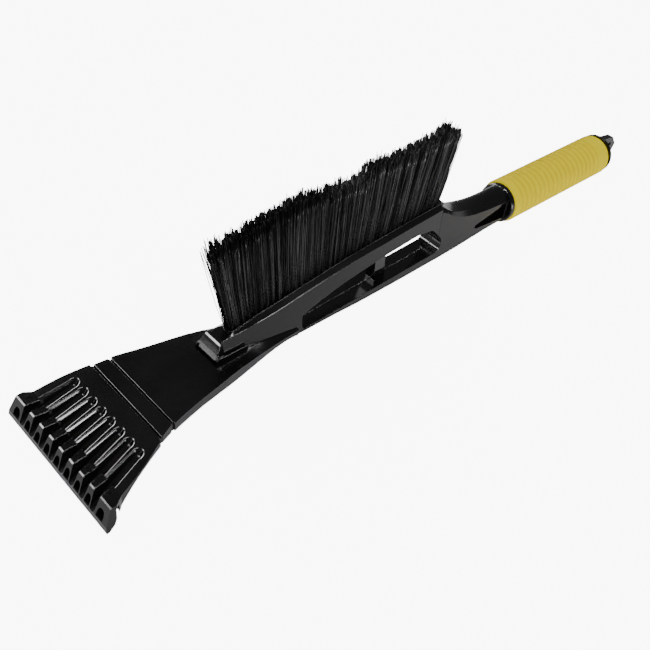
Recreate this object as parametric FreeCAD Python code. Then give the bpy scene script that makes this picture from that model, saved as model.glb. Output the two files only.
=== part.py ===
"""Windshield ice scraper with a snow brush and a foam grip.

Every piece is drawn in the tool's own frame: X runs back along the grip's axis from the blade's edge,
Y is the tool's plane of symmetry, Z is up, and the grip's axis is at y = 0, z = 0. At the end the whole
tool is tipped onto what it rests on, the blade's edge and the far end of the grip, and is centred over
the origin. All sizes are in millimetres.
"""
import FreeCAD, Part
import math
import os
from FreeCAD import Placement, Rotation, Vector

# Driving dimensions -----------------------------------------------------------------------------------
BLADE_HALF = 53.6            # half the width of the blade's edge
BLADE_Z = -35.5              # the blade's edge below the grip's axis
GRIP_R = 17.0                # outside radius of the foam
GRIP_X0 = 389.0              # front face of the foam
GRIP_X1 = 522.0              # rear face of the foam
GRIP_END_R = 5.0             # rounding of the foam's rear end
CORE_R = 11.0                # outside radius of the core that carries the foam
CORE_BORE_R = 8.5            # bore of the core
FIT = 0.05                   # clearance of a press or push fit, per side
SEAM = 0.3                   # visible gap between the head and the handle

# Scraper head
TOOTH_TOP_X = 5.0            # front corner of the teeth
TOOTH_TOP_Z = -20.2
LAND_X = 14.0                # rear of the flat lands on the teeth
LAND_Z = -19.6
GROOVES_X = (47.7, 57.7)     # the two cross grooves
GROOVE_HALF = 1.1
GROOVE_DEPTH = 1.2
DECK_Z = -5.0                # top of the flat deck behind the grooves
SEAT_X = 103.7               # front of the seat that the handle's foot stands in
SEAT_HALF = 10.5
SEAT_DECK_HALF = 9.25        # half width of the seat at the deck's height
HEAD_END_X = 171.0           # rear end of the shoulders
SOCKET_Z = -13.4             # floor of the seat
FLUTES = 8
FLUTE_SOLE_HALF = 1.2        # half width of the flat sole of a flute
FLUTE_FOOT = (1.9, 0.5)      # half width and height where a flute's walls start
FLUTE_SPLAY = 0.55           # how much each wall leans out per millimetre of height
TOOTH_SPLAY = 0.14           # the same between two teeth, where the walls are steep
FLUTE_HEIGHT = 14.0          # height of the cutter
FLUTE_PITCH_REAR = 9.5
FLUTE_PITCH_FRONT = 10.8
FLUTE_REAR_X = 32.8          # centre of the round rear end, on the sole
FLUTE_REAR_Z = -15.8
FLUTE_FRONT_X = 2.0
FLUTE_FRONT_Z = -30.8
TOOTH_ARCH_X = 4.4           # back of the arched pockets in the teeth
TOOTH_ARCH = [(2.4, -31.0), (2.3, -27.4), (1.7, -25.7), (0.8, -24.8)]   # half of an arch: y, z
END_ARCH_SHIFT = 1.04        # the end teeth are wider, so their arches stand further out
END_ARCH_WIDEN = 1.3
PIN_MARK_R = 1.9             # round ejector marks on every second tooth
PIN_MARK_X = 9.8
PIN_MARK_Y = 45.5            # how far out the marks on the end teeth stand
PIN_MARK_Z = -20.25          # floor of the marks
RIM = 3.4                    # thickness of the head's side walls
STEP_IN = 1.0                # how far the edge stands back between the two grooves

# Handle
FOOT_X = 105.0               # front of the handle's foot
RIM_START_X = 112.0          # front end of the beam's top edge
BEAM_END_X = 306.0           # where the beam turns into the neck
NECK_START_X = 311.0
COLLAR_X0 = 385.0
COLLAR_R = 15.6
TROUGH_HALF = 4.3
TROUGH_X0 = 118.0
TROUGH_X1 = 310.0
TROUGH_DEPTH = 7.0
PARTING_HALF = 0.2
PARTING_RISE = 0.3

# Brush
TUFT_ROWS = 3
TUFT_ROW_PITCH = 2.6
TUFT_R = 0.95
TUFT_PITCH = 4.6
TUFT_DEPTH = 5.0
TUFT_X0 = 121.5
TUFT_X1 = 302.0
ANCHOR = (0.4, 1.7, 2.2)     # thickness, width and height of one metal tuft anchor
BLOCK_PROUD = 0.8            # the block's top above the beam's ridge

# End cap
FLANGE_R = 16.4
FLANGE_T = 3.0
PLUG_LENGTH = 22.0
LUG_HALF = 2.75              # half the thickness of the hanging lug
HANG_HOLE_R = 2.6
HANG_HOLE = (539.8, 4.4)


# Curves of the tool, as (x, z) points -----------------------------------------------------------------
RIM_LINE = [(112, 7.6), (125, 8.1), (140, 9.3), (157, 11.2), (181, 15.2), (215, 20.2), (252, 23.7),
            (285, 26.6), (306, 28.4)]
RIDGE_RISE = [(112, 0.3), (123, 0.8), (136, 3.2), (160, 3.6), (285, 3.4), (306, 3.0)]
RIM_HALF = [(112, 6.2), (140, 7.0), (306, 7.0)]
WALL_FOOT = [(112, -13.1), (171, -16.9), (240, -17.2), (272, -16.5), (306, -15.2)]


def along(points, x):
    """The height of a line of (x, z) points at x."""
    for (xa, za), (xb, zb) in zip(points, points[1:]):
        if x <= xb:
            return za + (zb - za) * (x - xa) / (xb - xa)
    return points[-1][1]


# Geometry helpers -------------------------------------------------------------------------------------
def wire_of(points):
    """A closed wire of straight edges."""
    vectors = [Vector(*p) for p in points]
    return Part.makePolygon(vectors + [vectors[0]])


def prism_y(points, half, y=0.0):
    """A closed outline of (x, z) points, extruded to both sides of the plane at y."""
    face = Part.Face(wire_of([(x, y - half, z) for x, z in points]))
    return face.extrude(Vector(0, 2 * half, 0))


def spline(points):
    """One smooth edge through (x, y, z) points."""
    curve = Part.BSplineCurve()
    curve.interpolate([Vector(*p) for p in points])
    return curve.toShape()


def line(a, b):
    return Part.makeLine(Vector(*a), Vector(*b))


def box(x0, x1, y0, y1, z0, z1):
    return Part.makeBox(x1 - x0, y1 - y0, z1 - z0, Vector(x0, y0, z0))


def rod_x(radius, x0, x1, y=0.0, z=0.0):
    return Part.makeCylinder(radius, x1 - x0, Vector(x0, y, z), Vector(1, 0, 0))


def round_rim(shape, x, radius):
    """Rounds the circular edges that lie in the plane at x."""
    edges = [e for e in shape.Edges if abs(e.BoundBox.XMin - x) < 0.01 and e.BoundBox.XLength < 0.1]
    return shape.makeFillet(radius, edges)


def mirror_y(shape):
    return shape.mirror(Vector(0, 0, 0), Vector(0, 1, 0))


def union(shapes):
    joined = shapes[0].fuse(shapes[1:])
    return joined.removeSplitter()


def half_section(x, points):
    """A closed section at x of (y, z) points for +y, repeated for -y."""
    right = [(x, y, z) for y, z in points]
    left = [(x, -y, z) for y, z in reversed(points)]
    return wire_of(right + left)


# Scraper head -----------------------------------------------------------------------------------------
HEAD_OUTLINE = [(LAND_X, 47.0), (24, 44.6), (34, 41.6), (44, 37.6), (54, 34.0), (66, 30.8), (80, 27.6),
                (100, 23.8), (118, 20.0), (136, 16.6), (154, 13.4), (HEAD_END_X, 11.2)]


def head_outline_face(inset, z):
    """The flared plan of the head, pulled in by inset on both sides."""
    side = [(x, half - inset, z) for x, half in HEAD_OUTLINE]
    front = (-1.0, 58.0 - inset, z)
    right = [line(front, side[0]), spline(side)]
    rear_right = side[-1]
    left_side = [(x, -y, z) for x, y, _ in side]
    left = [line((front[0], -front[1], z), left_side[0]), spline(left_side)]
    rear = line(rear_right, left_side[-1])
    nose = line((front[0], -front[1], z), front)
    edges = Part.__sortEdges__(right + left + [rear, nose])
    return Part.Face(Part.Wire(edges))


def head_prism(inset):
    return head_outline_face(inset, -45.0).extrude(Vector(0, 0, 60))


DECK_TOP = [(TOOTH_TOP_X + 0.9, TOOTH_TOP_Z), (LAND_X, LAND_Z), (46.0, -8.1), (56.0, -5.6), (64.0, DECK_Z),
            (SEAT_X + 2, DECK_Z)]
DECK_BOTTOM = [(SEAT_X + 2, -8.6), (62.0, -8.6), (50.0, -11.6), (38.0, -16.9), (12.0, -27.8),
               (1.8, BLADE_Z + 0.2)]
BLADE_FRONT = [(0.0, BLADE_Z), (0.4, -31.3), (4.5, -21.9), (TOOTH_TOP_X, TOOTH_TOP_Z - 0.6)]
SPLIT_X = 12.0               # behind this the deck's thick middle stops short of the side walls


def deck():
    """The sloped front with its wedge blade, and the flat deck behind the grooves."""
    body = prism_y(DECK_TOP + DECK_BOTTOM + BLADE_FRONT, 60.0)
    blade = body.common(box(-5, SPLIT_X, -60, 60, -50, 20)).common(head_prism(0.0))
    middle = body.common(box(SPLIT_X, SEAT_X + 5, -60, 60, -50, 20)).common(head_prism(RIM - 0.1))
    return [blade, middle]


RIM_BOTTOM = [(10.0, -30.0), (12.5, -29.2), (17.4, -24.8), (22.1, -20.9), (26.9, -17.8), (31.8, -15.5),
              (37.0, -14.0), (44.0, -13.2), (53.0, -12.5), (62.0, -11.9), (84.0, -11.8), (104.0, -12.6),
              (118.0, -13.4)]


def side_rims():
    """The walls that hang from the deck's two flared edges."""
    top = [(10.0, along(DECK_TOP, 10.0))] + [(x, z) for x, z in DECK_TOP if x > 10]
    outline = top + [(118.0, DECK_Z - 0.8)] + RIM_BOTTOM[::-1]
    wall = prism_y(outline, 60.0)
    return wall.common(head_prism(0.0)).cut(head_prism(RIM))


SHOULDER = [  # x, top z at the handle, outer y, its top z, its bottom z, bottom z at the handle
    (102.0, DECK_Z, 23.4, DECK_Z - 0.05, -12.6, -15.4),
    (118.0, -4.8, 20.0, -6.1, -13.4, -15.8),
    (136.0, -4.7, 16.3, -8.0, -13.4, -16.2),
    (154.0, -4.9, 13.1, -10.2, -13.5, -16.6),
    (HEAD_END_X, -5.4, 11.2, -11.6, -15.6, -16.9),
]


SHOULDER_ROOT = 6.0          # the shoulders start inside the seat, which is cut out of them later


def shoulder():
    """One of the two fairings that hug the handle's foot, from the deck to nothing at the rear."""
    sections = []
    for x, z_in, y_out, z_out, z_low, z_sole in SHOULDER:
        corners = [(x, SHOULDER_ROOT, z_in), (x, y_out, z_out), (x, y_out, z_low), (x, SHOULDER_ROOT, z_sole)]
        sections.append(wire_of(corners))
    return Part.makeLoft(sections, True, False)


def socket_floor():
    """The plate under the handle's foot that joins the two shoulders."""
    low = [(row[0], row[-1]) for row in SHOULDER]
    top = SOCKET_Z + 1.0
    outline = [(SEAT_X - 4, DECK_Z - 1), (SEAT_X, DECK_Z - 1), (SEAT_X, top), (HEAD_END_X, top)]
    outline += [(x, z) for x, z in reversed(low)] + [(SEAT_X - 4, low[0][1])]
    return prism_y(outline, SEAT_HALF - 0.5)


def underside_ribs():
    """Stiffening ribs under the deck: one along the middle, two beside it and one across."""
    profile = [(30.0, -19.5), (62.0, -8.2), (103.0, -8.2), (103.0, -13.4), (80.0, -12.4), (62.0, -12.4),
               (44.0, -17.2), (34.0, -21.4)]
    ribs = [prism_y(profile, 0.9, y) for y in (-16.0, 0.0, 16.0)]
    ribs.append(box(78.0, 79.8, -27.0, 27.0, -12.6, -8.2))
    return ribs


def flute_section(splay):
    """Half of a flute's section, from the middle of its sole up, as (y, height) points."""
    foot_y, foot_h = FLUTE_FOOT
    mouth_y = foot_y + splay * (FLUTE_HEIGHT - foot_h)
    return [(FLUTE_SOLE_HALF, 0.0), (foot_y, foot_h), (mouth_y, FLUTE_HEIGHT)]


def channel(start, run, splay):
    """A straight channel with a flute's section, that starts at a point on its sole."""
    half = flute_section(splay)
    outline = [(y, h) for y, h in half] + [(-y, h) for y, h in reversed(half)]
    corners = [(start.x, start.y + y, start.z + h) for y, h in outline]
    return Part.Face(wire_of(corners)).extrude(run)


def flute(index):
    """The cutters of one flute: its splayed channel, its round rear end and the slot between two teeth."""
    place = index - (FLUTES - 1) / 2.0
    rear = Vector(FLUTE_REAR_X, place * FLUTE_PITCH_REAR, FLUTE_REAR_Z)
    run = Vector(FLUTE_FRONT_X, place * FLUTE_PITCH_FRONT, FLUTE_FRONT_Z) - rear
    to_land = run * ((LAND_X - rear.x) / run.x)
    past_blade = run * 1.12 - to_land
    bowl = [(rear.x, rear.y, rear.z)]
    bowl += [(rear.x + y, rear.y, rear.z + h) for y, h in flute_section(FLUTE_SPLAY)]
    bowl.append((rear.x, rear.y, rear.z + FLUTE_HEIGHT))
    end = Part.Face(wire_of(bowl)).revolve(rear, Vector(0, 0, 1), 360)
    splayed = channel(rear, to_land, FLUTE_SPLAY)
    slot = channel(rear + to_land, past_blade, TOOTH_SPLAY)
    return [splayed, end, slot]


def tooth_y(tooth):
    """Where a tooth stands along the blade; the two end teeth are wider than the rest."""
    return (tooth - FLUTES / 2.0) * FLUTE_PITCH_FRONT


def tooth_arch(tooth):
    """The arched pocket in the front of a tooth."""
    at_end = tooth in (0, FLUTES)
    y = tooth_y(tooth) * (END_ARCH_SHIFT if at_end else 1.0)
    widen = END_ARCH_WIDEN if at_end else 1.0
    half = [(widen * across, z) for across, z in TOOTH_ARCH]
    outline = half + [(-across, z) for across, z in reversed(half)]
    face = Part.Face(wire_of([(-1.0, y + across, z) for across, z in outline]))
    return face.extrude(Vector(TOOTH_ARCH_X + 1.0, 0, 0))


def pin_marks():
    """The round ejector marks on every second tooth."""
    marks = []
    for tooth in range(0, FLUTES + 1, 2):
        y = max(-PIN_MARK_Y, min(PIN_MARK_Y, tooth_y(tooth)))
        marks.append(Part.makeCylinder(PIN_MARK_R, 4, Vector(PIN_MARK_X, y, PIN_MARK_Z)))
    return marks


def cross_groove(x):
    """A V-shaped groove across the deck, which also nicks the two edges."""
    z = along(DECK_TOP, x)
    slope = 0.2
    section = [(x - GROOVE_HALF, z - slope + 0.6), (x, z - GROOVE_DEPTH), (x + GROOVE_HALF, z + slope + 0.6)]
    return prism_y(section, 60.0)


def step_back():
    """What is cut from the flared edge between the two grooves."""
    xa, xb = GROOVES_X
    inner = [(x, along(HEAD_OUTLINE, x) - STEP_IN) for x in GROOVES_X]
    plan = [(xa, inner[0][1]), (xb, inner[1][1]), (xb, 60.0), (xa, 60.0)]
    return Part.Face(wire_of([(x, y, -40.0) for x, y in plan])).extrude(Vector(0, 0, 50))


def edge_nick(x):
    """A small notch in the flared edge at a cross groove."""
    half = along(HEAD_OUTLINE, x)
    return box(x - GROOVE_HALF, x + GROOVE_HALF, half - STEP_IN - 0.5, half + 4, -30, 5)


def blade_end():
    """What is cut away past the slanted end of the blade."""
    slant = [(BLADE_HALF, BLADE_Z), (50.5, TOOTH_TOP_Z), (50.5, 5.0), (70.0, 5.0), (70.0, BLADE_Z - 5),
             (BLADE_HALF + 1.15, BLADE_Z - 5)]
    face = Part.Face(wire_of([(-5.0, y, z) for y, z in slant]))
    return face.extrude(Vector(LAND_X + 4, 0, 0))


def rim_notch():
    """The dark slot between the blade's end and the side wall."""
    return box(8.2, 11.2, 46.6, 60.0, -40.0, -22.4)


def seat():
    """The recess that the handle's foot stands in, open at the rear; its walls lean as the foot's do."""
    top = 10.0
    halves = [(SEAT_HALF, SOCKET_Z), (SEAT_DECK_HALF, DECK_Z)]
    lean = (SEAT_DECK_HALF - SEAT_HALF) / (DECK_Z - SOCKET_Z)
    halves.append((SEAT_DECK_HALF + lean * (top - DECK_Z), top))
    corners = [(FOOT_X, y, z) for y, z in halves] + [(FOOT_X, -y, z) for y, z in reversed(halves)]
    pocket = Part.Face(wire_of(corners)).extrude(Vector(HEAD_END_X + 5 - FOOT_X, 0, 0))
    front = box(SEAT_X, RIM_START_X, -SEAT_HALF, SEAT_HALF, SOCKET_Z, top)
    x1, y0, y1, z0, z1 = FOOT_RAIL[1:]
    rail = box(SEAT_X, x1 + SEAM, y0, y1 + FIT, z0 - FIT, z1 + SEAM)
    return [pocket, front, rail, mirror_y(rail)]


SOFT_EDGES = [  # radius, first and last x, greatest y, whether the edges run back
    (0.9, LAND_X - 0.05, 44.0, 42.0, True),              # mouths of the flutes
    (0.35, TOOTH_TOP_X, LAND_X + 0.05, 42.0, True),      # sides of the teeth
    (0.35, TOOTH_TOP_X, 6.2, BLADE_HALF, False),         # fronts of the teeth
    (0.35, 44.0, 62.0, BLADE_HALF, False),               # cross grooves
]


def deck_edges(body, x_low, x_high, y_high, runs_back):
    """The edges on the deck's upper side between two stations: those that run back, or those across."""
    chosen = []
    for edge in body.Edges:
        span = edge.LastParameter - edge.FirstParameter
        points = [edge.valueAt(edge.FirstParameter + span * part) for part in (0.0, 0.25, 0.5, 0.75, 1.0)]
        xs = [p.x for p in points]
        on_deck = all(abs(p.z - along(DECK_TOP, p.x)) < 0.02 for p in points)
        inside = min(xs) > x_low and max(xs) < x_high and max(abs(p.y) for p in points) < y_high
        if on_deck and inside and (max(xs) - min(xs) > 0.05) == runs_back:
            chosen.append(edge)
    return chosen


def softened(body):
    """The head with rounded mouths to its flutes, teeth and cross grooves."""
    solid = body.Solids[0]
    for radius, x_low, x_high, y_high, runs_back in SOFT_EDGES:
        solid = solid.makeFillet(radius, deck_edges(solid, x_low, x_high, y_high, runs_back))
    return solid


def scraper_head():
    shoulders = [shoulder(), mirror_y(shoulder())]
    body = union(deck() + [side_rims()] + shoulders + [socket_floor()] + underside_ribs())
    cutters = [cross_groove(x) for x in GROOVES_X]
    for tool in [edge_nick(x) for x in GROOVES_X] + [step_back(), blade_end(), rim_notch()]:
        cutters += [tool, mirror_y(tool)]
    cutters += seat()
    cutters += [tooth_arch(tooth) for tooth in range(FLUTES + 1)]
    body = body.cut(cutters)
    for index in range(FLUTES):
        for tool in flute(index):
            body = body.cut(tool)
    return softened(body).cut(pin_marks())


# Handle -----------------------------------------------------------------------------------------------
def beam_section(x):
    """Ridge, top edge, wall and sole of the beam at x; its walls lean in towards the top."""
    half = along(RIM_HALF, x)
    rim = along(RIM_LINE, x)
    low = along(WALL_FOOT, x)
    foot_half = 10.2 - 0.2 * (x - RIM_START_X) / (BEAM_END_X - RIM_START_X)
    ridge = (TROUGH_HALF + 0.2, rim + along(RIDGE_RISE, x))
    sole = (foot_half - 0.8, low)
    return [ridge, (half, rim), (foot_half, low + 0.8), sole]


def beam():
    stations = [112, 120, 130, 142, 157, 171, 190, 215, 240, 262, 285, 306]
    return Part.makeLoft([half_section(x, beam_section(x)) for x in stations], True, False)


FOOT_FRONT = [(FOOT_X, -3.2, 10.15), (106.4, 0.2, 9.2), (107.9, 3.6, 8.2), (108.9, 5.6, 7.6),
              (109.8, 6.7, 7.1), (111.0, 7.35, 6.6)]      # x, z and half width of the sloped front's edge


def foot():
    """The sloped front of the handle, from its top edge down to the seat in the head."""
    top = RIM_START_X
    first = beam_section(top)
    sections = []
    for x, z_top, half_top in FOOT_FRONT:
        points = [(half_top - 1.6, z_top + 0.05), (half_top, z_top), (10.2, -12.3), (9.4, SOCKET_Z + 0.3)]
        sections.append(half_section(x, points))
    sections.append(half_section(top, first))
    return Part.makeLoft(sections, True, True)


FOOT_RAIL = (104.7, 129.0, 8.5, 10.4, -6.0, -1.4)


def foot_rail():
    """One of the two small rails at the corners of the foot, mitred at the rear."""
    x0, x1, y0, y1, z0, z1 = FOOT_RAIL
    plan = wire_of([(x0, y0, z0), (x0, y1, z0), (x1, y1, z0), (x1 - 2, y0, z0)])
    return Part.Face(plan).extrude(Vector(0, 0, z1 - z0))


NECK = [  # x, crown z, top edge (y, z), upper bend (y, z), lower bend (y, z), sole (y, z)
    (306.0, 26.2, (4.4, 26.2), (7.3, 26.0), (10.0, -14.6), (9.2, -15.4)),
    (312.0, 26.0, (4.6, 25.9), (7.7, 23.2), (10.0, -14.2), (9.1, -15.3)),
    (319.0, 22.6, (6.6, 21.8), (8.3, 18.8), (10.0, -13.7), (9.0, -15.2)),
    (328.0, 19.4, (6.8, 18.7), (8.9, 14.8), (10.0, -13.0), (8.8, -15.0)),
    (340.0, 16.9, (6.6, 15.9), (9.4, 11.4), (10.0, -12.2), (8.3, -14.8)),
    (354.0, 15.4, (6.5, 13.8), (9.8, 9.5), (10.0, -11.0), (7.6, -14.4)),
    (368.0, 14.9, (6.7, 12.9), (10.1, 8.5), (10.1, -9.8), (6.9, -13.8)),
    (387.0, 14.6, (7.0, 12.6), (10.3, 8.0), (10.3, -8.8), (6.4, -13.4)),
]


def neck_section(x, crown, top, upper, lower, sole):
    """The neck at x: a crowned top, two bevels, flat walls and a bevelled sole."""
    edges = [Part.Arc(Vector(x, -top[0], top[1]), Vector(x, 0, crown + 0.05),
                      Vector(x, top[0], top[1])).toShape()]
    right = [(x, y, z) for y, z in (top, upper, lower, sole)]
    left = [(x, -y, z) for _, y, z in reversed(right)]
    corners = right + left
    edges += [line(a, b) for a, b in zip(corners, corners[1:])]
    return Part.Wire(edges)


def neck():
    front = Part.makeLoft([neck_section(*s) for s in NECK[:2]], True, True)
    rear = Part.makeLoft([neck_section(*s) for s in NECK[1:]], True, False)
    return front.fuse(rear)


def collar_and_core():
    """The collar that the foam butts against, and the hollow core that carries it."""
    collar = rod_x(COLLAR_R, COLLAR_X0, GRIP_X0 - FIT)
    collar = round_rim(collar, COLLAR_X0, 0.8)
    return collar, rod_x(CORE_R, COLLAR_X0, GRIP_X1 - FIT)


def rounded_outline(corners, y):
    """A closed wire in the plane at y from (x, z, radius) corners, with a tangent arc at each corner."""
    points = [Vector(x, y, z) for x, z, _ in corners]
    edges = []
    first = last = None
    for i, (_, _, radius) in enumerate(corners):
        here = points[i]
        back = points[i - 1] - here
        ahead = points[(i + 1) % len(points)] - here
        half = back.getAngle(ahead) / 2.0
        reach = min(radius / math.tan(half), 0.49 * back.Length, 0.49 * ahead.Length)
        start = here + back * (reach / back.Length)
        end = here + ahead * (reach / ahead.Length)
        inward = back * (1 / back.Length) + ahead * (1 / ahead.Length)
        inward.normalize()
        fit_radius = reach * math.tan(half)
        middle = here + inward * (fit_radius / math.sin(half) - fit_radius)
        if last is not None:
            edges.append(Part.makeLine(last, start))
        else:
            first = start
        edges.append(Part.Arc(start, middle, end).toShape())
        last = end
    edges.append(Part.makeLine(last, first))
    return Part.Wire(edges)


def window():
    """The long rounded opening through the beam."""
    return Part.Face(rounded_outline(WINDOW, -20.0)).extrude(Vector(0, 40, 0))


WINDOW = [  # x, z and corner radius
    (174.6, -2.6, 3.0), (188.0, 1.4, 24.0), (212.0, 7.2, 60.0), (248.0, 12.5, 60.0), (282.0, 16.0, 40.0),
    (298.0, 14.4, 9.0),
    (311.0, 1.0, 8.0), (308.0, -7.8, 4.0), (270.0, -9.6, 80.0), (175.2, -14.8, 3.4)]
PILLAR = [  # z, front x, rear x, half thickness
    (14.0, 240.3, 250.0, 7.7),
    (6.3, 242.1, 252.1, 6.6),
    (0.1, 243.6, 253.9, 5.8),
    (-6.4, 246.2, 256.0, 4.6),
    (-13.0, 248.0, 257.5, 3.6),
]


def pillar():
    """The strut that divides the window: flush at the top, drawn in and back towards the sole."""
    sections = []
    for z, xa, xb, half in PILLAR:
        corners = [(xa, -half, z), (xb, -half, z), (xb, half, z), (xa, half, z)]
        sections.append(wire_of(corners))
    return Part.makeLoft(sections, True, True)


def parting_line():
    """The thin raised line that the mould leaves round the inside of the window."""
    outer = Part.Face(rounded_outline(WINDOW, -PARTING_HALF))
    inner = outer.makeOffset2D(-PARTING_RISE)
    return outer.cut(inner).extrude(Vector(0, 2 * PARTING_HALF, 0))


def neck_pocket():
    """The long triangular hollow in the side of the neck, next to the collar."""
    outline = [(347.5, -2.4), (349.0, -0.6), (366.0, 3.0), (384.0, 6.4), (384.0, -6.8), (366.0, -5.6),
               (350.5, -4.4)]
    face = Part.Face(wire_of([(x, 4.6, z) for x, z in outline]))
    return face.extrude(Vector(0, 20, 0))


def trough_profile(clearance, floor_drop, top_rise, x0, x1):
    """(x, z) outline of the trough or of the block in it, which follows the beam's top edge."""
    stations = [x0] + [x for x, _ in RIM_LINE if x0 < x < x1] + [x1]
    floor = [(x, along(RIM_LINE, x) - floor_drop + clearance) for x in stations]
    top = [(x, along(RIM_LINE, x) + along(RIDGE_RISE, x) + top_rise) for x in stations]
    return floor + top[::-1]


def rounded_bar(outline, half, x0, x1):
    """An outline extruded to y = +-half, with a round nose in plan at x0."""
    plan = rod_plan(half, x0, x1)
    return prism_y(outline, half + 1).common(plan)


def rod_plan(half, x0, x1):
    tail = box(x0 + half, x1, -half, half, -30, 60)
    nose = Part.makeCylinder(half, 90, Vector(x0 + half, 0, -30))
    return tail.fuse(nose)


def trough():
    outline = trough_profile(0.0, TROUGH_DEPTH, 12.0, TROUGH_X0, TROUGH_X1)
    return rounded_bar(outline, TROUGH_HALF, TROUGH_X0, TROUGH_X1)


def handle_body():
    collar, core = collar_and_core()
    outside = union([beam(), foot(), neck(), collar])
    body = outside.cut([window(), neck_pocket(), mirror_y(neck_pocket())])
    body = union([body, pillar(), parting_line(), core, foot_rail(), mirror_y(foot_rail())])
    bore = rod_x(CORE_BORE_R, 400.0, GRIP_X1 + 5)
    tang_relief = box(FOOT_X - 5, HEAD_END_X + SEAM, -20, 20, -30, SOCKET_Z + FIT)
    return body.cut([trough(), bore, tang_relief])


# Brush ------------------------------------------------------------------------------------------------
def block_top(x):
    return along(RIM_LINE, x) + along(RIDGE_RISE, x) + BLOCK_PROUD


def tuft_places(row):
    """The x of every tuft of a row; odd rows are staggered by half a pitch."""
    shift = TUFT_PITCH / 2.0 if row % 2 else 0.0
    count = int((TUFT_X1 - TUFT_X0 - shift) / TUFT_PITCH) + 1
    return [TUFT_X0 + shift + i * TUFT_PITCH for i in range(count)]


def row_y(row):
    return (row - (TUFT_ROWS - 1) / 2.0) * TUFT_ROW_PITCH


def tuft_root(x, y, radius, depth, rise):
    return Part.makeCylinder(radius, depth + rise, Vector(x, y, block_top(x) - depth))


def brush_block():
    outline = trough_profile(FIT, TROUGH_DEPTH, BLOCK_PROUD, TROUGH_X0 + FIT, TROUGH_X1 - 1.5)
    block = rounded_bar(outline, TROUGH_HALF - FIT, TROUGH_X0 + FIT, TROUGH_X1 - 1.5)
    holes = [tuft_root(x, row_y(row), TUFT_R, TUFT_DEPTH, 5.0)
             for row in range(TUFT_ROWS) for x in tuft_places(row)]
    return block.cut(holes)


BRUSH_TOP = [(104.0, 79.8), (113.5, 77.8), (122.0, 77.8), (134.0, 79.8), (151.0, 83.8), (169.0, 85.2),
             (189.0, 83.2), (209.0, 80.7), (222.0, 82.7), (228.0, 87.8), (249.0, 87.5), (272.0, 88.0),
             (297.0, 93.2), (309.0, 85.2)]
BRUSH_SPREAD = 1.4           # how far a row's tips stand out, as a multiple of its y at the block
ROW_HALF = (1.15, 1.5)       # half the thickness of a row at the block and at its tips


def bristle_row(row):
    """One row of filaments as a fan-shaped slab, with a root in every hole of the block."""
    y0 = row_y(row)
    y1 = y0 * BRUSH_SPREAD
    places = tuft_places(row)
    front, rear = places[0] - 1.2, places[-1] + 1.2
    lift = 0.15
    bends = sorted(x for x, _ in RIM_LINE + RIDGE_RISE[1:-1] if front < x < rear)
    base = [(x, block_top(x) + lift) for x in [front] + sorted(set(bends)) + [rear]]
    outline = base + BRUSH_TOP[::-1]
    slab = Part.Face(wire_of([(x, 0, z) for x, z in outline])).extrude(Vector(0, 40, 0))
    slab.translate(Vector(0, -20, 0))
    low, high = 5.0, 100.0
    scale = (high - low) / 80.0
    half0 = ROW_HALF[0]
    half1 = half0 + (ROW_HALF[1] - half0) * scale
    lean = (y1 - y0) * scale
    section = [(y0 - half0, low), (y0 + half0, low), (y0 + lean + half1, high), (y0 + lean - half1, high)]
    fan = Part.Face(wire_of([(90.0, y, z) for y, z in section])).extrude(Vector(240, 0, 0))
    body = slab.common(fan)
    roots = [tuft_root(x, y0, TUFT_R - FIT, TUFT_DEPTH - ANCHOR[2] - 0.2, 1.5) for x in places]
    return body.fuse(roots).removeSplitter()


def anchor_row(row):
    """The metal anchors that hold one row's folded tufts at the bottom of their holes."""
    thick, wide, high = ANCHOR
    anchors = []
    for x in tuft_places(row):
        y = row_y(row)
        z = block_top(x) - TUFT_DEPTH + FIT
        anchors.append(box(x - wide / 2, x + wide / 2, y - thick / 2, y + thick / 2, z, z + high))
    return Part.makeCompound(anchors)


# Grip and end cap -------------------------------------------------------------------------------------
def foam_grip():
    sleeve = rod_x(GRIP_R, GRIP_X0, GRIP_X1)
    sleeve = round_rim(sleeve, GRIP_X1, GRIP_END_R)
    sleeve = round_rim(sleeve, GRIP_X0, 1.5)
    return sleeve.cut(rod_x(CORE_R + FIT, GRIP_X0 - 5, GRIP_X1 + 5))


LUG = [(522.0, 9.5), (529.4, 13.4), (542.5, 11.4), (550.0, 3.0), (547.6, -4.6), (534.0, -10.5),
       (522.0, -10.5)]


def end_cap():
    flange = rod_x(FLANGE_R, GRIP_X1 + FIT, GRIP_X1 + FLANGE_T)
    flange = round_rim(flange, GRIP_X1 + FLANGE_T, 1.6)
    plug = rod_x(CORE_BORE_R - FIT, GRIP_X1 - PLUG_LENGTH, GRIP_X1 + 1.0)
    lug = prism_y([(max(x, GRIP_X1 + 1.0), z) for x, z in LUG], LUG_HALF)
    hole = Part.makeCylinder(HANG_HOLE_R, 40, Vector(HANG_HOLE[0], -20, HANG_HOLE[1]), Vector(0, 1, 0))
    return union([flange, plug, lug]).cut(hole)


# Rest pose and output ---------------------------------------------------------------------------------
def rest_placement(shapes):
    """Tips the tool onto the blade's edge and the grip's rear end, and centres it over the origin."""
    contact_x = GRIP_X1 - GRIP_END_R
    pitch = math.degrees(math.asin((-BLADE_Z - GRIP_R) / math.hypot(contact_x, -BLADE_Z - GRIP_R)))
    turn = Placement(Vector(0, 0, 0), Rotation(Vector(0, 1, 0), pitch))
    turned = Part.makeCompound([s.copy() for s in shapes])
    turned.Placement = turn
    bounds = turned.optimalBoundingBox(False)
    shift = Vector(-(bounds.XMin + bounds.XMax) / 2, -(bounds.YMin + bounds.YMax) / 2, -bounds.ZMin)
    return Placement(shift, Rotation(Vector(0, 1, 0), pitch))


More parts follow.
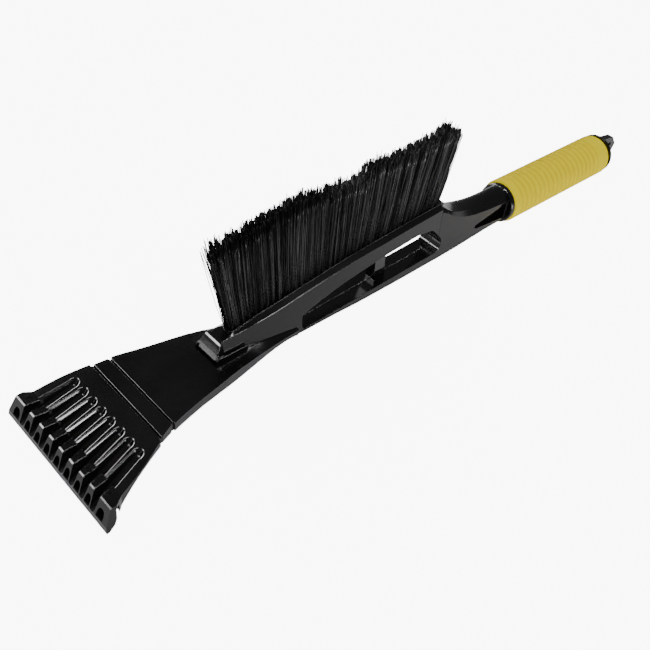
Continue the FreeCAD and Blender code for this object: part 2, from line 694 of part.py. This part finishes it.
def main():
    nodes = {
        "scraper_head": scraper_head(),
        "handle_body": handle_body(),
        "brush_block": brush_block(),
        "foam_grip": foam_grip(),
        "end_cap": end_cap(),
    }
    for row in range(TUFT_ROWS):
        nodes["bristle_row_%d" % (row + 1)] = bristle_row(row)
        nodes["anchor_row_%d" % (row + 1)] = anchor_row(row)
    rest = rest_placement(list(nodes.values()))
    os.makedirs("parts", exist_ok=True)
    for name, shape in nodes.items():
        placed = shape.copy()
        placed.Placement = rest
        placed.exportStep("parts/%s.step" % name)


main()
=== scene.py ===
"""Looks of the windshield ice scraper: moulded black plastic, a filament brush and a ribbed foam grip."""
import math

import bpy
import numpy as np
from mathutils import Matrix, Vector


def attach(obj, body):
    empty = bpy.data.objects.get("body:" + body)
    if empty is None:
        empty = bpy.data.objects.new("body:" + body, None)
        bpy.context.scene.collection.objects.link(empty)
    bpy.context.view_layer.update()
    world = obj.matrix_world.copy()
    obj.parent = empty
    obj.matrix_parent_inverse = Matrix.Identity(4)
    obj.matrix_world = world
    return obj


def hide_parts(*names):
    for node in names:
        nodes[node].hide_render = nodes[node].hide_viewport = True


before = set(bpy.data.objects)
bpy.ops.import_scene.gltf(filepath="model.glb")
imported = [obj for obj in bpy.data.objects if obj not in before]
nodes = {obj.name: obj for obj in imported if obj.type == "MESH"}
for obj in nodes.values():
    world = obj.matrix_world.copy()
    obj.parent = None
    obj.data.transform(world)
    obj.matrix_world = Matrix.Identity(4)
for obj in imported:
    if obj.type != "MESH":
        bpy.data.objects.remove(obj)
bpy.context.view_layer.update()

MM = 0.001
PITCH = math.radians(2.04936)     # the tool rests on its blade and the far end of its grip
SHIFT = Vector((-0.274243, 0.0, 0.03548))


def tool(x, y, z):
    """A point of the tool's own frame, in mm, as a point of the scene, in metres."""
    c, s = math.cos(PITCH), math.sin(PITCH)
    return Vector((x * c + z * s, y, z * c - x * s)) * MM + SHIFT


def tool_array(p):
    """The same for an array of points."""
    c, s = math.cos(PITCH), math.sin(PITCH)
    x, y, z = p[..., 0], p[..., 1], p[..., 2]
    return np.stack([x * c + z * s, y, z * c - x * s], axis=-1) * MM + np.array(SHIFT)


def tool_direction(v):
    return Matrix.Rotation(PITCH, 3, "Y") @ Vector(v)


# Node materials ---------------------------------------------------------------------------------------
class Nodes:
    """A short way to write a node tree."""

    def __init__(self, name):
        self.material = bpy.data.materials.new(name)
        self.material.use_nodes = True
        self.tree = self.material.node_tree
        self.tree.nodes.clear()
        self.out = self.tree.nodes.new("ShaderNodeOutputMaterial")

    def add(self, kind, inputs=None, **attributes):
        node = self.tree.nodes.new(kind)
        for key, value in attributes.items():
            setattr(node, key, value)
        for key, value in (inputs or {}).items():
            self.put(node.inputs[key], value)
        return node

    def put(self, socket, value):
        if isinstance(value, bpy.types.NodeSocket):
            self.tree.links.new(value, socket)
        else:
            socket.default_value = value

    def coordinates(self):
        return self.add("ShaderNodeTexCoord").outputs["Object"]

    def attribute(self, label):
        """A number that the mesh carries at each of its points."""
        return self.add("ShaderNodeAttribute", attribute_name=label,
                        attribute_type="GEOMETRY").outputs["Fac"]

    def noise(self, scale, detail=3.0, vector=None, roughness=0.5):
        inputs = {"Vector": vector or self.coordinates(), "Scale": scale, "Detail": detail,
                  "Roughness": roughness}
        return self.add("ShaderNodeTexNoise", inputs).outputs["Fac"]

    def spread(self, value, low, high, to_low, to_high):
        inputs = {"Value": value, "From Min": low, "From Max": high, "To Min": to_low, "To Max": to_high}
        return self.add("ShaderNodeMapRange", inputs).outputs["Result"]

    def mix(self, factor, a, b):
        node = self.add("ShaderNodeMix", data_type="RGBA")
        self.put(node.inputs["Factor"], factor)
        self.put(node.inputs["A"], a)
        self.put(node.inputs["B"], b)
        return node.outputs["Result"]

    def math(self, operation, a, b=0.0):
        node = self.add("ShaderNodeMath", operation=operation)
        self.put(node.inputs[0], a)
        self.put(node.inputs[1], b)
        return node.outputs[0]

    def bump(self, height, strength, distance, normal=None):
        inputs = {"Height": height, "Strength": strength, "Distance": distance}
        if normal:
            inputs["Normal"] = normal
        return self.add("ShaderNodeBump", inputs).outputs["Normal"]

    def finish(self, inputs, normal):
        shader = self.add("ShaderNodeBsdfPrincipled", dict(inputs, Normal=normal))
        self.tree.links.new(shader.outputs[0], self.out.inputs["Surface"])
        return self.material


def moulded_plastic(name, tint, gloss, edge, grain):
    """Injection-moulded black plastic: flow marks, fine orange peel, rub marks and softened edges.

    edge is the radius that edges are softened to, in metres, and 0 leaves them as the CAD has them.
    """
    n = Nodes(name)
    where = n.coordinates()
    flow = n.noise(26.0, 2.0, where)
    cloud = n.noise(140.0, 4.0, where)
    peel = n.noise(900.0, 2.0, where)
    stretched = n.add("ShaderNodeMapping", {"Vector": where, "Scale": (1.0, 6.0, 6.0)}).outputs["Vector"]
    rub = n.noise(420.0, 5.0, stretched, 0.7)
    scuffs = n.spread(rub, 0.60, 0.72, 0.0, 1.0)
    dark = tuple(0.75 * c for c in tint) + (1.0,)
    light = tuple(1.35 * c for c in tint) + (1.0,)
    colour = n.mix(cloud, dark, light)
    base_rough = n.spread(flow, 0.3, 0.7, gloss - 0.03, gloss + 0.04)
    rough = n.math("ADD", base_rough, n.math("MULTIPLY", scuffs, 0.05))
    rounded = n.add("ShaderNodeBevel", {"Radius": edge}, samples=6).outputs["Normal"] if edge else None
    relief = n.math("ADD", n.math("MULTIPLY", peel, 0.35), cloud)
    soft = n.bump(relief, 0.10 * grain, 0.00025, rounded)
    return n.finish({"Base Color": colour, "Roughness": rough, "IOR": 1.49}, soft)


def steel(name):
    """Plain cut wire."""
    n = Nodes(name)
    patch = n.noise(2600.0, 3.0)
    colour = n.mix(patch, (0.42, 0.42, 0.41, 1), (0.60, 0.60, 0.58, 1))
    rough = n.spread(patch, 0.3, 0.7, 0.28, 0.46)
    shader = {"Base Color": colour, "Metallic": 1.0, "Roughness": rough}
    return n.finish(shader, n.bump(patch, 0.3, 0.00005))


def filament(name):
    """Black plastic filament, different from strand to strand, with painted shade darkening it at the root
    and the tip.
    """
    n = Nodes(name)
    strand, rise = n.attribute("strand"), n.attribute("rise")
    fine = n.noise(1500.0, 3.0)
    pale = n.math("POWER", strand, 2.0)
    # painted shade: the colour is darkened towards the root and the tip, and the specular level is lowered
    # there too
    root_tip_painted_shade = n.math("MULTIPLY", n.spread(rise, 2.0, 16.0, 0.25, 1.0), n.spread(rise, 50.0, 64.0, 1.0, 0.15))
    colour = n.mix(n.math("MULTIPLY", pale, root_tip_painted_shade), (0.003, 0.003, 0.0032, 1), (0.06, 0.06, 0.061, 1))
    rough = n.spread(strand, 0.0, 1.0, 0.38, 0.24)
    level = n.math("MULTIPLY", n.spread(pale, 0.0, 1.0, 0.05, 0.9), root_tip_painted_shade)
    shader = {"Base Color": colour, "Roughness": rough, "IOR": 1.5, "Specular IOR Level": level}
    return n.finish(shader, n.bump(fine, 0.2, 0.00004))


def foam(name):
    """Closed-cell yellow foam: a skin with fine pores, mottled colour, and painted shade in the pores and
    in the grooves between the ribs.
    """
    n = Nodes(name)
    where = n.coordinates()
    voronoi = n.add("ShaderNodeTexVoronoi", {"Vector": where, "Scale": 1500.0}, feature="F1")
    cells = voronoi.outputs["Distance"]
    small = n.noise(2400.0, 3.0, where)
    patch = n.noise(60.0, 4.0, where)
    groove = n.attribute("groove")
    base = n.mix(patch, (0.94, 0.75, 0.0005, 1), (1.0, 0.81, 0.001, 1))
    # painted shade: the colour darkens with the depth in a rib groove
    shade = n.mix(n.math("MULTIPLY", groove, 0.5), base, (0.70, 0.47, 0.001, 1))
    pores = n.spread(cells, 0.0, 0.35, 0.0, 1.0)
    # painted shade: the colour darkens in the pits of the pores
    pore_painted_shade = n.math("MULTIPLY", n.math("SUBTRACT", 1.0, pores), 0.35)
    colour = n.mix(pore_painted_shade, shade, (0.66, 0.44, 0.001, 1))
    height = n.math("ADD", pores, n.math("MULTIPLY", small, 0.6))
    shader = {"Base Color": colour, "Roughness": 0.8, "Specular IOR Level": 0.05}
    return n.finish(shader, n.bump(height, 0.3, 0.0001))


BLACK = (0.0042, 0.0042, 0.0044)
PLASTICS = {                  # slot, roughness, radius of the softened edges in metres, grain
    "scraper_head": ("head_plastic", 0.15, 0.0, 0.1),
    "handle_body": ("body_plastic", 0.15, 0.0005, 0.3),
    "brush_block": ("block_plastic", 0.24, 0.0003, 1.4),
    "end_cap": ("cap_plastic", 0.20, 0.00045, 1.0),
}


def dress(name, material):
    """Give a CAD node its material."""
    nodes[name].data.materials.clear()
    nodes[name].data.materials.append(material)


for name, (slot_name, *look) in PLASTICS.items():
    dress(name, moulded_plastic(slot_name, BLACK, *look))
staple_steel = steel("anchor_metal")
for row in (1, 2, 3):
    dress("anchor_row_%d" % row, staple_steel)


# Brush ------------------------------------------------------------------------------------------------
RIM_LINE = np.array([(112, 7.6), (125, 8.1), (140, 9.3), (157, 11.2), (181, 15.2), (215, 20.2), (252, 23.7),
                     (285, 26.6), (306, 28.4)])
RIDGE_RISE = np.array([(112, 0.3), (123, 0.8), (136, 3.2), (160, 3.6), (285, 3.4), (306, 3.0)])
BLOCK_PROUD = 0.8
TUFT_X0, TUFT_X1, TUFT_PITCH, ROW_PITCH, HOLE_R = 121.5, 302.0, 4.6, 2.6, 0.85
TIPS_X0, TIPS_X1 = 108.0, 308.5   # how far the brush fans out along its length
TIP_LINE = np.array([(100, 78.0), (104, 80.3), (113, 78.4), (122, 78.3), (134, 80.3), (151, 84.5),
                     (169, 85.9), (189, 83.7), (209, 81.0), (223, 83.2), (228, 88.8), (249, 87.9),
                     (272, 88.3), (298, 93.6), (312, 86.5)])
FILAMENT_R = 0.26
PER_TUFT = 42
CRIMPED, STRAIGHT = 15, 4        # segments in the crimped lower part of a filament and above it
CRIMP_TOP = 0.36                 # how far up the crimp reaches
CRIMP = 0.16
SIDES = 3
SUNK = 1.5                       # how far below the top of the block a filament starts
BOW = 0.35
MOSTLY_ALONG = np.array([1.0, 0.6, 0.0])
TUFT_SPREAD = (0.5, 0.3, 0.9)    # how tufts differ at the tip: along, across and up
TIP_SPREAD_X, TIP_SPREAD_Y = 1.3, 0.6
RAGGED = (-3.6, 1.8)             # how the filaments of a tuft differ in height
STRAY_LONG, STRAY_SHORT, STRAY_SPLAY = (1.0, 4.5), (0, 7), 2.6
FRINGE_SPLAY, FRINGE_DROP = 6.0, 4.5   # how far the first tuft of a row splays forward and down


def block_top(x):
    return np.interp(x, *RIM_LINE.T) + np.interp(x, *RIDGE_RISE.T) + BLOCK_PROUD


def tuft_places(row):
    """Where the tufts of a row stand along the block."""
    shift = TUFT_PITCH / 2 if row == 1 else 0.0
    count = int((TUFT_X1 - TUFT_X0 - shift) / TUFT_PITCH) + 1
    return TUFT_X0 + shift + TUFT_PITCH * np.arange(count)


def filament_tips(x0, y0, ox, oy, tufts, rng):
    """Where the filaments end: fanned out along the brush, with a ragged top edge and a few strays."""
    many = len(x0)
    along = (x0 - TUFT_X0) / (TUFT_X1 - TUFT_X0)
    lean, sway, rise = (np.repeat(rng.normal(0, amount, tufts), PER_TUFT) for amount in TUFT_SPREAD)
    tip_x = TIPS_X0 + (TIPS_X1 - TIPS_X0) * along + ox * 3.0 + lean + rng.normal(0, TIP_SPREAD_X, many)
    tip_y = y0 * 1.35 + oy * 1.7 + sway + rng.normal(0, TIP_SPREAD_Y, many)
    tip_z = np.interp(tip_x, *TIP_LINE.T) + rise + rng.uniform(*RAGGED, many)
    stray = rng.uniform(0, 1, many)
    tip_z += np.where(stray > 0.965, rng.uniform(*STRAY_LONG, many), 0.0)
    tip_z -= np.where(stray < 0.05, rng.uniform(*STRAY_SHORT, many), 0.0)
    tip_x += np.where((stray > 0.03) & (stray < 0.06), rng.normal(0, STRAY_SPLAY, many), 0.0)
    loose = np.where(along < 0.03, rng.uniform(0, 1, many) ** 1.5, 0.0)
    tip_x -= FRINGE_SPLAY * loose
    tip_z -= FRINGE_DROP * loose
    return np.stack([tip_x, tip_y, tip_z], axis=-1)


def row_filaments(row, rng):
    """The spine points of every filament of a row, as an array of filament, point and coordinate."""
    tufts = tuft_places(row)
    x0 = np.repeat(tufts, PER_TUFT)
    y0 = np.full(x0.shape, (row - 1) * ROW_PITCH)
    many = len(x0)
    turn = rng.uniform(0, 2 * math.pi, many)
    off = HOLE_R * np.sqrt(rng.uniform(0, 1, many))
    ox, oy = off * np.cos(turn), off * np.sin(turn)
    base = np.stack([x0 + ox, y0 + oy, block_top(x0) - SUNK], axis=-1)
    tip = filament_tips(x0, y0, ox, oy, len(tufts), rng)
    low = np.linspace(0, CRIMP_TOP, CRIMPED + 1)
    t = np.concatenate([low, np.linspace(CRIMP_TOP, 1, STRAIGHT + 1)[1:]])
    zigzag = np.where(np.arange(len(t)) % 2, 1.0, -1.0) * (t <= CRIMP_TOP) * (t > 0)
    t = t[None, :, None]
    spine = base[:, None, :] * (1 - t) + tip[:, None, :] * t
    bow = rng.normal(0, BOW, (many, 1, 3)) * MOSTLY_ALONG
    flare = np.stack([ox * 2.0, oy * 0.5, np.zeros(many)], axis=-1)[:, None, :]
    crimp = rng.normal(0, CRIMP, (many, 1, 3)) * MOSTLY_ALONG * zigzag[None, :, None]
    return spine + crimp + bow * np.sin(math.pi * t) + flare * (1 - np.exp(-t / 0.06)) * (1 - t)


def brush_mesh(name, spine, rng):
    """Thin tubes about the spines, closed at the tip, as one mesh with a shade for each strand."""
    many, points, _ = spine.shape
    ring = np.arange(SIDES) * 2 * math.pi / SIDES
    phase = rng.uniform(0, 2 * math.pi, (many, 1, 1))
    radius = FILAMENT_R * rng.uniform(0.85, 1.15, (many, 1, 1)) * np.ones((1, points, 1))
    dx = radius * np.cos(ring + phase)
    dy = radius * np.sin(ring + phase)
    verts = np.repeat(spine[:, :, None, :], SIDES, axis=2)
    verts[..., 0] += dx
    verts[..., 1] += dy
    first = (np.arange(many) * points * SIDES)[:, None, None]
    level = (np.arange(points - 1) * SIDES)[None, :, None]
    side = np.arange(SIDES)[None, None, :]
    after = (side + 1) % SIDES
    a = first + level + side
    b = first + level + after
    quads = np.stack([a, b, b + SIDES, a + SIDES], axis=-1).reshape(-1, 4)
    tips = ((np.arange(many) + 1) * points * SIDES - SIDES)[:, None] + np.arange(SIDES)[None, :]
    roots = (np.arange(many) * points * SIDES)[:, None] + np.arange(SIDES)[::-1][None, :]
    places = tool_array(verts.reshape(-1, 3))
    mesh = bpy.data.meshes.new(name)
    faces = [tuple(corners) for group in (quads, tips, roots) for corners in group.tolist()]
    mesh.from_pydata(places.tolist(), [], faces)
    # strand gives each filament its own tone; rise, the height above the block, is what the bristle
    # material paints shade by at the root and the tip
    shades = (("strand", np.repeat(rng.uniform(0, 1, many), points * SIDES)),
              ("rise", (verts[..., 2] - block_top(verts[..., 0])).ravel()))
    for label, values in shades:
        mesh.attributes.new(label, "FLOAT", "POINT").data.foreach_set("value", values.astype(np.float32))
    smooth = np.ones(len(faces), dtype=bool)
    smooth[len(quads):] = False
    mesh.polygons.foreach_set("use_smooth", smooth)
    mesh.update()
    return mesh


bristle = filament("bristle")
for row in range(3):
    rng = np.random.default_rng(40 + row)
    node = "bristle_row_%d" % (row + 1)
    mesh = brush_mesh(node + "_filaments", row_filaments(row, rng), rng)
    mesh.materials.append(bristle)
    piece = bpy.data.objects.new(node + "_filaments", mesh)
    bpy.context.scene.collection.objects.link(piece)
    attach(piece, "root")
    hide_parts(node)


# Foam grip --------------------------------------------------------------------------------------------
GRIP_X0, GRIP_X1, GRIP_R, CORE_R = 389.0, 522.0, 17.0, 11.05
RIBS = 19
RIB_X0, RIB_X1 = 394.5, 505.5
RIB_DEPTH = 0.5
AROUND = 168                     # points around the sleeve
WANDER = 0.0025                  # how much the radius drifts from ring to ring


def grip_radius(x):
    """Outside radius of the foam and how deep in a groove it is, at x."""
    front = GRIP_R - 1.6 * max(0.0, 1 - (x - GRIP_X0) / 2.2) ** 2
    rear = GRIP_R + 0.25 - 4.2 * max(0.0, 1 - (GRIP_X1 - x) / 6.5) ** 2.3
    smooth = min(front, rear)
    inside = min(1.0, max(0.0, (x - RIB_X0) / 4.0)) * min(1.0, max(0.0, (RIB_X1 - x) / 4.0))
    phase = (x - RIB_X0) / (RIB_X1 - RIB_X0) * RIBS * 2 * math.pi
    groove = (0.5 - 0.5 * math.cos(phase)) ** 1.6 * inside
    return smooth - RIB_DEPTH * groove, groove


def grip_rings():
    """The points of the sleeve, ring by ring, outside and then inside, and each ring's depth in a groove.

    The outside is lightly uneven, as foam is.
    """
    rng = np.random.default_rng(7)
    stations = np.concatenate([np.linspace(GRIP_X0, GRIP_X0 + 3, 8),
                               np.linspace(GRIP_X0 + 3.4, GRIP_X1 - 8, 300),
                               np.linspace(GRIP_X1 - 7.5, GRIP_X1 - 0.1, 30)])
    uneven = np.cumsum(rng.normal(0, WANDER, (len(stations), 3)), axis=0)
    angle = np.arange(AROUND) * 2 * math.pi / AROUND
    rings, grooves = [], []
    for x, wobble in zip(stations, uneven):
        r, groove = grip_radius(x)
        swell = wobble[0] * np.sin(angle) + wobble[1] * np.cos(2 * angle)
        radial = r + swell + 0.03 * np.sin(3 * angle + x * 0.05)
        rings.append(ring_points(x, radial, angle))
        grooves.append(groove)
    for x in (GRIP_X1 - 0.05, GRIP_X0 + 0.02):
        rings.append(ring_points(x, CORE_R, angle))
        grooves.append(0.0)
    return np.array(rings), np.array(grooves)


def ring_points(x, radius, angle):
    return np.stack([np.full(len(angle), x), radius * np.sin(angle), radius * np.cos(angle)], axis=-1)


def grip_mesh():
    """The foam sleeve with its ribs, as a closed ring."""
    rings, grooves = grip_rings()
    count = len(rings)
    faces = []
    for k in range(count):
        here, there = k * AROUND, (k + 1) % count * AROUND
        for j in range(AROUND):
            step = (j + 1) % AROUND
            faces.append((here + j, here + step, there + step, there + j))
    mesh = bpy.data.meshes.new("foam_grip_ribbed")
    mesh.from_pydata(tool_array(rings.reshape(-1, 3)).tolist(), [], faces)
    # how deep in a groove each point is, which the foam material paints shade by
    shade = mesh.attributes.new("groove", "FLOAT", "POINT")
    shade.data.foreach_set("value", np.repeat(grooves, AROUND).astype(np.float32))
    mesh.polygons.foreach_set("use_smooth", np.ones(len(faces), dtype=bool))
    mesh.update()
    return mesh


grip = bpy.data.objects.new("foam_grip_ribbed", grip_mesh())
grip.data.materials.append(foam("grip_foam"))
bpy.context.scene.collection.objects.link(grip)
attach(grip, "root")
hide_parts("foam_grip")


# Studio -----------------------------------------------------------------------------------------------
FLOOR_GLOW = 0.50             # what the floor gives off towards the object
FLOOR_DIMMED = 0.32           # what it lacks where it is mirrored in the plastic
FLOOR_SHOWN = 8.0             # what it adds where it is seen directly, as an overexposed sweep does
SKY = 0.10
LIGHTS = (                    # name, place, target, width, height, radiance, whether only seen in gloss
    ("fill_near", (-0.3, -1.2, 1.7), (0, 0, 0), 2.0, 1.3, 3.6, False),
    ("fill_far", (0.6, 1.3, 1.6), (0, 0, 0), 1.8, 1.2, 2.6, False),
    ("strip_near", (-0.05, -1.1, 0.10), (-0.05, 0, 0.02), 1.1, 0.17, 40.0, True),
    ("strip_left", (-1.05, 0.75, 0.52), (-0.2, 0, 0.02), 0.3, 0.46, 28.0, True),
    ("card_far", (-0.5, 1.4, 0.5), (-0.25, 0, 0.0), 0.8, 0.85, 18.0, True),
    ("strip_far", (0.6, 1.3, 0.42), (0, 0, 0.02), 1.1, 0.2, 22.0, True),
    ("strip_above", (-0.25, 0.0, 1.2), (-0.25, 0, 0.02), 2.0, 0.16, 30.0, True),
)


def floor_material():
    """A white sweep: lit, and overexposed where it is seen directly."""
    n = Nodes("studio_floor")
    grain = n.noise(3.0, 4.0)
    colour = n.mix(grain, (0.88, 0.88, 0.88, 1), (0.91, 0.91, 0.91, 1))
    path = n.add("ShaderNodeLightPath")
    glow = n.math("ADD", n.math("MULTIPLY", path.outputs["Is Camera Ray"], FLOOR_SHOWN), FLOOR_GLOW)
    glow = n.math("SUBTRACT", glow, n.math("MULTIPLY", path.outputs["Is Glossy Ray"], FLOOR_DIMMED))
    inputs = {"Base Color": colour, "Roughness": 0.9, "Specular IOR Level": 0.0,
              "Emission Color": (1, 1, 1, 1), "Emission Strength": glow}
    shader = n.add("ShaderNodeBsdfPrincipled", inputs)
    n.tree.links.new(shader.outputs[0], n.out.inputs["Surface"])
    return n.material


def studio_floor():
    half = 5.0
    mesh = bpy.data.meshes.new("studio_floor")
    corners = [(-half, -half, 0), (half, -half, 0), (half, half, 0), (-half, half, 0)]
    mesh.from_pydata(corners, [], [(0, 1, 2, 3)])
    mesh.materials.append(floor_material())
    obj = bpy.data.objects.new("studio_floor", mesh)
    bpy.context.scene.collection.objects.link(obj)


def area_light(name, place, target, width, height, radiance, in_mirror):
    """A rectangular light. One kind only lights the scene, the other is only seen in glossy surfaces."""
    light = bpy.data.lights.new(name, "AREA")
    light.shape = "RECTANGLE"
    light.size, light.size_y = width, height
    light.energy = radiance * math.pi * width * height
    obj = bpy.data.objects.new(name, light)
    obj.location = place
    obj.rotation_euler = (Vector(target) - Vector(place)).to_track_quat("-Z", "Y").to_euler()
    obj.visible_camera = False
    obj.visible_diffuse = not in_mirror
    obj.visible_glossy = in_mirror
    bpy.context.scene.collection.objects.link(obj)


def studio_world():
    """A dim even sky, as bright as the sweep where it is seen directly."""
    world = bpy.data.worlds.new("studio")
    world.use_nodes = True
    tree = world.node_tree
    background = tree.nodes["Background"]
    background.inputs["Color"].default_value = (1, 1, 1, 1)
    shown = tree.nodes.new("ShaderNodeMath")
    shown.operation = "MULTIPLY_ADD"
    tree.links.new(tree.nodes.new("ShaderNodeLightPath").outputs["Is Camera Ray"], shown.inputs[0])
    shown.inputs[1].default_value = FLOOR_SHOWN
    shown.inputs[2].default_value = SKY
    tree.links.new(shown.outputs[0], background.inputs["Strength"])
    bpy.context.scene.world = world


studio_floor()
studio_world()
for light in LIGHTS:
    area_light(*light)


# Camera -----------------------------------------------------------------------------------------------
AZIMUTH, ELEVATION, ROLL = math.radians(-48.335), math.radians(41.997), math.radians(8.65)
FOCAL = 1.328023              # focal length over the width of the view
STANDS = (-126.3, -297.3, 367.6)
SENSOR = 36.0


def add_camera():
    back = Vector((math.sin(AZIMUTH) * math.cos(ELEVATION), -math.cos(AZIMUTH) * math.cos(ELEVATION),
                   math.sin(ELEVATION)))
    level = (-back).cross(Vector((0, 0, 1))).normalized()
    plumb = level.cross(-back)
    right = level * math.cos(ROLL) + plumb * math.sin(ROLL)
    up = plumb * math.cos(ROLL) - level * math.sin(ROLL)
    axes = [tool_direction(v) for v in (right, up, back)]
    camera = bpy.data.cameras.new("camera")
    camera.sensor_fit = "HORIZONTAL"
    camera.sensor_width = SENSOR
    camera.lens = SENSOR * FOCAL
    camera.clip_start = 0.01
    obj = bpy.data.objects.new("camera", camera)
    turn = Matrix(axes).transposed().to_4x4()
    obj.matrix_world = Matrix.Translation(tool(*STANDS)) @ turn
    bpy.context.scene.collection.objects.link(obj)
    bpy.context.scene.camera = obj


add_camera()
